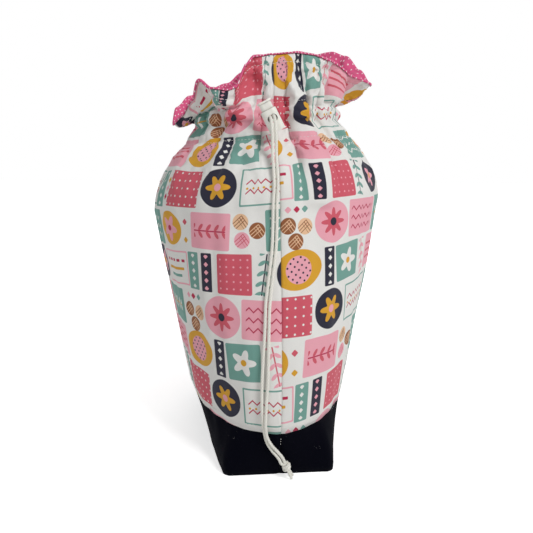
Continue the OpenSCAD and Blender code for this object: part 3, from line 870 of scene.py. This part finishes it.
first = at(rows[0], 22, 17, -2)
dotted(first, plain_block(first, 41, 30, coral), 6.5, 1.7, white_ground)
flower_disc(at(rows[0], 61, 17), 31, ink, mustard, petal)
second = at(rows[0], 105, 17, 1.5)
frame_box(second, 51, 30, teal)
zigzags(second, block(second, 42, 23), 2, rose)
dotted(at(second, 0, 3.75), block(second, 42, 5, 1), 5, 1.9, mustard)
bar(at(rows[0], 142, 17), 13, 31, teal, white_ground)
diamonds(at(rows[0], 153, 17, 90), [rose, petal, mustard])

sprig(at(rows[1], 12, 50, 12), 31, petal, coral)
third = at(rows[1], 46, 51, -1)
plain_block(third, 48, 29, petal)
print_ink(coral, both(block(third, 40, 20, 0.5), block(repeated(third, 999, 6), 99, 1.9, 0.3)))
pincushion(at(rows[1], 93, 51, 8), 39, 30, mustard, petal, ink)
bar(at(rows[1], 120, 50), 10, 30, ink, white_ground)
fourth = at(rows[1], 142, 51, 4)
plain_block(fourth, 29, 29, teal)
print_ink(white_ground, blossom(fourth, 21, 5))
print_ink(mustard, disc(fourth, 5, 5))

fifth = at(rows[2], 21, 84, 1)
plain_block(fifth, 43, 31, teal)
sprig(at(fifth, 0, 0, 90), 34, white_ground, mustard)
diamonds(at(rows[2], 58, 96), [petal, rose, teal])
for ball_x, ball_y, colour, strand in ((51, 84, brown, sand), (65, 83, sand, brown), (57, 72, brown, sand)):
    yarn_ball(at(rows[2], ball_x, ball_y), colour, strand)
flower_disc(at(rows[2], 90, 84), 33, petal, coral, ink, 8)
sixth = at(rows[2], 131, 84, -1.5)
zigzags(sixth, both(plain_block(sixth, 47, 30, petal), block(sixth, 40, 24)), 3, rose)

seventh = at(rows[3], 15, 118)
dotted(seventh, plain_block(seventh, 29, 31, coral), 5.6, 1.5, petal)
sprig(at(rows[3], 39, 118, -9), 31, teal, ink)
flower_disc(at(rows[3], 64, 118), 31, ink, petal, mustard, 5)
eighth = at(rows[3], 103, 118, 2)
frame_box(eighth, 42, 29, petal)
dash = block(repeated(at(eighth, 0, 6), 7, 999), 4.4, 2.4, 0.5)
print_ink(rose, both(dash, block(eighth, 34, 99)))
print_ink(mustard, block(at(eighth, 0, -1), 28, 2.4, 0.5))
print_ink(teal, block(at(eighth, 0, -7), 20, 2.4, 0.5))
bar(at(rows[3], 131, 118), 12, 31, teal, white_ground)
bar(at(rows[3], 146, 118), 10, 31, ink, petal)

ninth = at(rows[4], 20, 151, -3)
plain_block(ninth, 37, 29, petal)
sprig(at(ninth, 0, 0, 90), 30, coral, rose)
for ball_x, ball_y, colour, strand in (
    (47, 158, sand, brown), (60, 151, brown, sand), (48, 144, petal, coral),
):
    yarn_ball(at(rows[4], ball_x, ball_y), colour, strand)
tenth = at(rows[4], 88, 151, 1)
zigzags(tenth, both(plain_block(tenth, 43, 31, teal), block(tenth, 36, 24)), 3, white_ground)
eleventh = at(rows[4], 128, 152, -10)
print_ink(mustard, disc(eleventh, 34, 29))
print_ink(petal, blossom(eleventh, 23, 5))
print_ink(rose, disc(eleventh, 5, 5))
diamonds(at(rows[4], 150, 143, 90), [mustard])
diamonds(at(rows[4], 150, 158), [coral])

printed = white_ground
for colour, mask in layers:
    printed = mix(print_tree, mask, printed, colour)
ink_uptake = ranged(print_tree, print_slub, (0.3, 0.7), (0.93, 1))
feed(print_shader, {"Base Color": mix(print_tree, 1, printed, ink_uptake, "MULTIPLY")})

panel_rows = slice(row_at(1), None)
halves = {"right": slice(0, columns // 2 + 1), "left": slice(columns // 2, columns + 1)}
print_offsets = {"right": np.array([18, 52]) * mm, "left": np.array([95, 121]) * mm}
# Each gather tucks some of its cloth into its valleys, where the print is pressed together
tuck_share, tuck_from = 0.72, 0.86
fold_place = gather(shares % 1)[2]
fold_ends = np.append(gathers[1:, 0], gathers[0, 0] + 360)
fold_width = cloth_round / 360 * np.interp(
    shares * 360, (gathers[:, 0] + fold_ends) / 2, fold_ends - gathers[:, 0], period=360
)
tucked = np.where(
    np.abs(fold_place) < tuck_from, fold_place * tuck_share,
    np.sign(fold_place) * np.interp(np.abs(fold_place), [tuck_from, 1], [tuck_from * tuck_share, 1]),
)
tuck_amount = np.interp(levels, [2.1, 3, 4, 5], [0, 1, 1, 0.6])[:, None]
cloth_places = shares * cloth_round + tuck_amount * ((tucked - fold_place) * fold_width / 2)
for side_name, half in halves.items():
    shift_x, shift_y = print_offsets[side_name]
    panel = cloth_sheet(
        f"print_panel_{side_name}", skin[panel_rows, half], cloth_places[panel_rows, half] + shift_x,
        cloth_up[panel_rows] + shift_y, print_cotton,
    )
    thicken(panel, outer_t)
    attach(panel, "bag")
    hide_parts(f"outer_panel_{side_name}")
    cloth_up[-1] - cloth_up[row_at(1)]


# Fleece interlining
# A layer of white fusible fleece, ironed onto the inside of each printed panel from the floor to the
# shoulder. It stiffens the wall, so that the bag stands by itself.
fleece_t = 1.6 * mm
fleece_deep = 1 * mm
fleece, fleece_shader, fleece_tree = new_material("fleece", dye(240, 240, 236), 0.95, {"Sheen Weight": 0.3})
fleece_fuzz = noise(fleece_tree, own_place(fleece_tree), 700, 6, 0.7)
feed(fleece_shader, {
    "Base Color": mix(fleece_tree, fleece_fuzz, dye(222, 221, 215), dye(250, 250, 247)),
    "Normal": bump(fleece_tree, fleece_fuzz, 0.8, 0.4 * mm),
})
fleece_rows = row_at(2.4) + 1
for side_name, half in halves.items():
    wadding = skin[:fleece_rows, half] - fleece_deep * outward[:fleece_rows, half]
    wadding[0, :, 2] = fleece_deep
    pad = cloth_sheet(
        f"fleece_{side_name}", wadding, shares[half] * cloth_round, cloth_up[:fleece_rows], fleece
    )
    thicken(pad, fleece_t)
    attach(pad, "bag")
    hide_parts(f"interlining_{side_name}")


# Lining
# Two panels of pink cotton with white pin dots, from the floor to the frill's edge, where they roll over to
# the front and show as a thin pink line.
lining_t = 0.6 * mm
dot_step, dot_size, dot_soft = 3.7 * mm, 1.1 * mm, 0.06
pink, dot_white = dye(226, 92, 140), dye(250, 232, 236)
lining_cotton, lining_shader, lining_tree = new_material(
    "lining_cotton", pink, 0.82, {"Sheen Weight": 0.12, "Specular IOR Level": 0.3}
)
lining_place, _, lining_slub = woven(lining_tree, lining_shader, cotton_thread, 0.05 * mm, 0.35)
dot_grid = add_node(
    lining_tree, "ShaderNodeMapping", {"Vector": lining_place, "Rotation": (0, 0, np.radians(45))}
).outputs[0]
half_cell = dot_step / 2
dot_cell = vector(lining_tree, "WRAP", dot_grid, (half_cell, half_cell, 1), (-half_cell, -half_cell, -1))
dot_reach = vector(lining_tree, "LENGTH", dot_cell)
dot_edge = ((0.5 - dot_soft) * dot_size, (0.5 + dot_soft) * dot_size)
dot_mask = ranged(lining_tree, dot_reach, dot_edge, (1, 0))
pink_shade = mix(lining_tree, lining_slub, dye(214, 78, 126), dye(236, 104, 152))
feed(lining_shader, {"Base Color": mix(lining_tree, dot_mask, pink_shade, dot_white)})

# How far inside the printed panels the lining lies, and how much of their gathers it follows, by level
lining_deep = np.interp(levels, [2.4, 2.85, 4, 4.2], np.array([2.8, 3.9, 3.9, 1.0]) * mm)
slack = np.interp(levels, [2.4, 2.8, 4, 4.25], [1, 0.5, 0.5, 1])
inner_skin = bag_point((shares % 1)[None, :], levels[:, None], slack[:, None])
inside = inner_skin + skin_shift - lining_deep[:, None, None] * grid_normals(inner_skin)
inside[0, :, 2] = lining_deep[0]
edge_up = skin[-1] - skin[-2]
edge_up /= np.linalg.norm(edge_up, axis=1)[:, None]
edge_roll = [(1.1, 0.75), (1.4, 0.2), (1.0, -0.35), (0.1, -0.45)]
roll_up = np.array([1.2, 1.8, 2.4, 3.3]) * mm
rolled = [skin[-1] + edge_up * rise * mm - outward[-1] * deep * mm for rise, deep in edge_roll]
lining_floor = np.stack([
    np.stack([inside[0, :, 0] * share, inside[0, :, 1], inside[0, :, 2]], -1)
    for share in np.linspace(0, 1, floor_steps)[:-1]
])
lining_sheet = np.concatenate([lining_floor, inside, np.stack(rolled)])
lining_up = np.concatenate([
    np.linspace(-half_w, 0, floor_steps)[:-1], cloth_up, cloth_up[-1] + roll_up,
])
for side_name, half in halves.items():
    panel = cloth_sheet(
        f"lining_{side_name}_panel", lining_sheet[:, half], shares[half] * cloth_round, lining_up,
        lining_cotton,
    )
    thicken(panel, lining_t)
    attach(panel, "bag")
    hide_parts(f"lining_{side_name}")


# Cord inside the casing
# The middle of the same cotton cord, threaded through the casing between the printed cotton and the lining,
# where it is hidden. It draws the neck in.
hidden_deep = 2.6 * mm
open_columns, column_step = 8, 3
casing_row = row_at(3.5)
hidden_ring = skin[casing_row] - hidden_deep * outward[casing_row]
hidden_line = even_line(hidden_ring[open_columns:-open_columns:column_step], cord_step)
hidden_cord = braided_cord("cord_in_casing", hidden_line, cord_cotton)
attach(hidden_cord, "bag")
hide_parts("drawstring_casing_run")


# Stitching
# White sewing thread: a topstitch below the frill's edge, two rows that close the casing, a topstitch above
# the canvas, and the seam's own stitches where they show on the canvas at the front and the back.
stitch_thread = 0.45 * mm
thread_lift = 0.1 * mm
band_row, seam_levels = 1.03, (0.75, 1)
thread_white, thread_shader, thread_tree = new_material(
    "thread_white", dye(244, 241, 236), 0.6, {"Sheen Weight": 0.3}
)
thread_twist = noise(thread_tree, own_place(thread_tree), 5000, 2)
feed(thread_shader, {"Base Color": mix(thread_tree, thread_twist, dye(214, 210, 203), dye(250, 248, 244))})

stitch_tree = bpy.data.node_groups.new("stitch_rows", "GeometryNodeTree")
stitch_tree.interface.new_socket("Geometry", in_out="INPUT", socket_type="NodeSocketGeometry")
stitch_inputs = {
    label: stitch_tree.interface.new_socket(label, in_out="INPUT", socket_type="NodeSocketFloat").identifier
    for label in ("Stitch pitch", "Stitch length", "Thread width")
}
stitch_tree.interface.new_socket("Geometry", in_out="OUTPUT", socket_type="NodeSocketGeometry")


def stitch_node(kind, inputs, output=0, **settings):
    return add_node(stitch_tree, kind, inputs, **settings).outputs[output]


row_in = add_node(stitch_tree, "NodeGroupInput").outputs
row_curve = stitch_node("GeometryNodeMeshToCurve", {"Mesh": row_in["Geometry"]})
holes = add_node(
    stitch_tree, "GeometryNodeCurveToPoints",
    {"Curve": row_curve, "Length": row_in["Stitch pitch"]}, mode="LENGTH",
).outputs
along_row = stitch_node("FunctionNodeAlignRotationToVector", {"Vector": holes["Tangent"]}, axis="X")
one_thread = stitch_node("GeometryNodeMeshUVSphere", {"Segments": 8, "Rings": 5, "Radius": 0.5}, "Mesh")
thread_sides = [row_in[label] for label in ("Stitch length", "Thread width", "Thread width")]
thread_size = stitch_node("ShaderNodeCombineXYZ", thread_sides)
laid = stitch_node("GeometryNodeInstanceOnPoints", {
    "Points": holes["Points"], "Instance": one_thread, "Rotation": along_row, "Scale": thread_size,
})
realized = stitch_node("GeometryNodeRealizeInstances", {"Geometry": laid})
coloured = stitch_node("GeometryNodeSetMaterial", {"Geometry": realized, "Material": thread_white})
add_node(stitch_tree, "NodeGroupOutput", {"Geometry": coloured})


def sewn_rows(name, lines, pitch, length, width=stitch_thread):
    """Stitches along lines on the cloth, as one plain mesh."""
    points = np.concatenate(lines)
    starts = np.cumsum([0] + [len(line) for line in lines])
    edges = [(i, i + 1) for first, last in zip(starts[:-1], starts[1:]) for i in range(first, last - 1)]
    path = bpy.data.meshes.new(name + "_path")
    path.from_pydata(points.tolist(), edges, [])
    guide = bpy.data.objects.new(name + "_path", path)
    bpy.context.scene.collection.objects.link(guide)
    sewing = guide.modifiers.new("stitch_rows", "NODES")
    sewing.node_group = stitch_tree
    for label, value in (("Stitch pitch", pitch), ("Stitch length", length), ("Thread width", width)):
        sewing[stitch_inputs[label]] = value
    sewn = bpy.data.meshes.new_from_object(guide.evaluated_get(bpy.context.evaluated_depsgraph_get()))
    bpy.data.objects.remove(guide)
    made = bpy.data.objects.new(name, sewn)
    sewn.name = name
    sewn.polygons.foreach_set("use_smooth", [True] * len(sewn.polygons))
    bpy.context.scene.collection.objects.link(made)
    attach(made, "bag")


def line_round(level):
    """A line round the bag at a level, just proud of the cloth."""
    place = np.interp(level, levels, np.arange(len(levels)))
    low = min(int(place), len(levels) - 2)
    part = place - low
    return lerp(skin[low], skin[low + 1], part) + thread_lift * lerp(outward[low], outward[low + 1], part)


proud = skin + thread_lift * outward
rim_line = np.stack([
    [np.interp(rim_margin, from_rim[::-1, i], proud[::-1, i, axis]) for axis in range(3)]
    for i in range(columns + 1)
])
casing_lines = [line_round(row) for row in casing_rows]
sewn_rows("rim_topstitch", [rim_line], pitch=3 * mm, length=2.3 * mm)
sewn_rows("casing_stitches", casing_lines, pitch=3 * mm, length=2.2 * mm, width=0.3 * mm)
sewn_rows("band_topstitch", [line_round(band_row)], pitch=3.2 * mm, length=2.4 * mm)
seam_rows = slice(row_at(seam_levels[0]), row_at(seam_levels[1]))
seam_lines = [proud[seam_rows, column] for column in (0, columns // 2)]
sewn_rows("seam_stitches", seam_lines, pitch=2.2 * mm, length=0.8 * mm, width=0.5 * mm)


# Studio
# A plain white floor under the bag, a large soft light in front and to the right, and two weaker ones. The
# floor and the sky shine only for the camera and in reflections, and the floor keeps the bag's shadow.
floor_half = 6
glow_reach, glow_range = (0.1, 1.2), (0.62, 1)
sky_light = 0.24
lamp_aim = Vector((0, 0, 0.17))


def ray_is(tree, *kinds):
    """1 for a ray of one of these kinds, and 0 for any other."""
    rays = add_node(tree, "ShaderNodeLightPath").outputs
    found = rays[kinds[0]]
    for kind in kinds[1:]:
        found = number(tree, "MAXIMUM", found, rays[kind])
    return found


floor_white, floor_shader, floor_tree = new_material(
    "floor_white", (0.9, 0.9, 0.9), 0.9, {"Emission Color": (1, 1, 1, 1)}
)
floor_seen = ray_is(floor_tree, "Is Camera Ray", "Is Glossy Ray")
from_bag = vector(floor_tree, "LENGTH", own_place(floor_tree))
floor_glow = ranged(floor_tree, from_bag, glow_reach, glow_range)
feed(floor_shader, {"Emission Strength": number(floor_tree, "MULTIPLY", floor_seen, floor_glow)})
floor = mesh_object(
    "floor", [(x * floor_half, y * floor_half, 0) for x, y in ((-1, -1), (1, -1), (1, 1), (-1, 1))],
    [[0, 1, 2, 3]], floor_white,
)
lamps = [
    ("key", (0.9, -1.25, 1.75), 0.7, 26),
    ("fill", (-1.5, -1.1, 0.7), 1.2, 3),
    ("back", (0.2, 1.4, 1.4), 1.2, 8),
]
for lamp_name, place, width, power in lamps:
    light = bpy.data.lights.new(lamp_name, "AREA")
    light.size = width
    light.energy = power
    lamp = bpy.data.objects.new(lamp_name, light)
    lamp.location = place
    lamp.rotation_euler = (lamp_aim - Vector(place)).to_track_quat("-Z", "Y").to_euler()
    bpy.context.scene.collection.objects.link(lamp)
world = bpy.data.worlds.new("studio")
world.use_nodes = True
world_tree = world.node_tree
sky = world_tree.nodes["Background"]
sky_seen = ray_is(world_tree, "Is Camera Ray", "Is Glossy Ray", "Is Transmission Ray")
feed(sky, {"Color": (1, 1, 1, 1), "Strength": ranged(world_tree, sky_seen, (0, 1), (sky_light, 1))})
bpy.context.scene.world = world
bpy.context.scene.view_settings.view_transform = "Standard"
